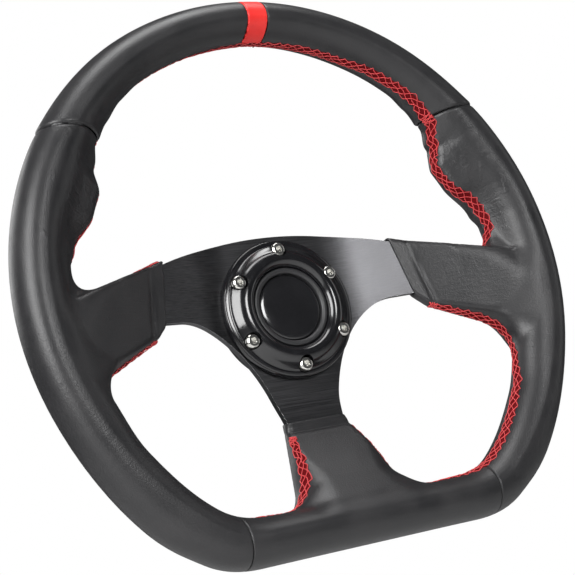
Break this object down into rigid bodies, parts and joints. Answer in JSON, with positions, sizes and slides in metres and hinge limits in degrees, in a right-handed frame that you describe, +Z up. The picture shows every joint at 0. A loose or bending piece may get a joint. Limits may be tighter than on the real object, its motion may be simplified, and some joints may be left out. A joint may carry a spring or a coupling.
{
  "type": "quick release steering wheel",
  "caption": "Leather-wrapped flat-bottomed racing steering wheel with three spokes, thumb rests, a horn button and a pull-collar quick release hub.",
  "frame": {"origin": "on the hub axis at the mouth of the quick release socket, in the plane of the sleeve's end face", "axes": "+Z up with the wheel pointing straight ahead, the driver on the -Y side, +Y along the hub axis towards the steering column, +X to the driver's right"},
  "size_m": [0.3468, 0.09, 0.3243],
  "materials": {
    "leather": "satin fine-grained",
    "marker_leather": "satin fine-grained",
    "thread": "waxed twisted thread",
    "foam": "moulded polyurethane foam",
    "steel": "plain",
    "bright_steel": "polished stainless",
    "black_anodised_plate": "brushed, black anodised, bright chamfer",
    "gloss_black": "high gloss",
    "matte_plastic": "satin moulded",
    "brass": "plain brass",
    "black_anodised_hub": "satin black anodised, turned",
    "grey_anodised_collar": "satin gunmetal anodised, knurled"
  },
  "bodies": {
    "wheel": {"rim_hoop": "steel", "rim_foam": "foam", "top_leather_right": "leather", "top_leather_left": "leather", "centre_marker_band": "marker_leather", "right_grip_leather": "leather", "left_grip_leather": "leather", "bottom_leather": "leather", "lacing_top": "thread", "lacing_lower_right": "thread", "lacing_lower_left": "thread", "spoke_plate": "black_anodised_plate", "horn_ring": "gloss_black", "screw_1": "bright_steel", "screw_2": "bright_steel", "screw_3": "bright_steel", "screw_4": "bright_steel", "screw_5": "bright_steel", "screw_6": "bright_steel", "horn_housing": "matte_plastic", "horn_fixed_contact": "brass", "horn_terminal_left": "brass", "horn_terminal_right": "brass", "horn_spring": "steel", "qr_body": "black_anodised_hub", "qr_spring": "steel", "qr_snap_ring": "steel"},
    "quick_release_collar": {"qr_collar": "grey_anodised_collar"},
    "horn_button": {"horn_cap": "gloss_black", "horn_moving_contact": "brass"},
    "lock_ball_1": {"qr_ball_1": "bright_steel"},
    "lock_ball_2": {"qr_ball_2": "bright_steel"},
    "lock_ball_3": {"qr_ball_3": "bright_steel"},
    "lock_ball_4": {"qr_ball_4": "bright_steel"},
    "lock_ball_5": {"qr_ball_5": "bright_steel"},
    "lock_ball_6": {"qr_ball_6": "bright_steel"}
  },
  "joints": [
    {"name": "collar_pull", "type": "slide", "parent": "wheel", "child": "quick_release_collar", "axis": [0, -1, 0], "range_m": [0, 0.004], "stiffness_N_per_m": 1500, "springref_m": -0.006, "deforming": ["qr_spring"]},
    {"name": "horn_press", "type": "slide", "parent": "wheel", "child": "horn_button", "axis": [0, 1, 0], "range_m": [0, 0.0025], "stiffness_N_per_m": 900, "springref_m": -0.002, "deforming": ["horn_spring"]},
    {"name": "lock_ball_slide_1", "type": "slide", "parent": "wheel", "child": "lock_ball_1", "axis": [1, 0, 0], "range_m": [0, 0.0013]},
    {"name": "lock_ball_slide_2", "type": "slide", "parent": "wheel", "child": "lock_ball_2", "axis": [0.5, 0, 0.866], "range_m": [0, 0.0013]},
    {"name": "lock_ball_slide_3", "type": "slide", "parent": "wheel", "child": "lock_ball_3", "axis": [-0.5, 0, 0.866], "range_m": [0, 0.0013]},
    {"name": "lock_ball_slide_4", "type": "slide", "parent": "wheel", "child": "lock_ball_4", "axis": [-1, 0, 0], "range_m": [0, 0.0013]},
    {"name": "lock_ball_slide_5", "type": "slide", "parent": "wheel", "child": "lock_ball_5", "axis": [-0.5, 0, -0.866], "range_m": [0, 0.0013]},
    {"name": "lock_ball_slide_6", "type": "slide", "parent": "wheel", "child": "lock_ball_6", "axis": [0.5, 0, -0.866], "range_m": [0, 0.0013]}
  ],
  "couplings": [
    {"joint": "lock_ball_slide_1", "follows": "collar_pull", "ratio": 0.325},
    {"joint": "lock_ball_slide_2", "follows": "collar_pull", "ratio": 0.325},
    {"joint": "lock_ball_slide_3", "follows": "collar_pull", "ratio": 0.325},
    {"joint": "lock_ball_slide_4", "follows": "collar_pull", "ratio": 0.325},
    {"joint": "lock_ball_slide_5", "follows": "collar_pull", "ratio": 0.325},
    {"joint": "lock_ball_slide_6", "follows": "collar_pull", "ratio": 0.325}
  ]
}
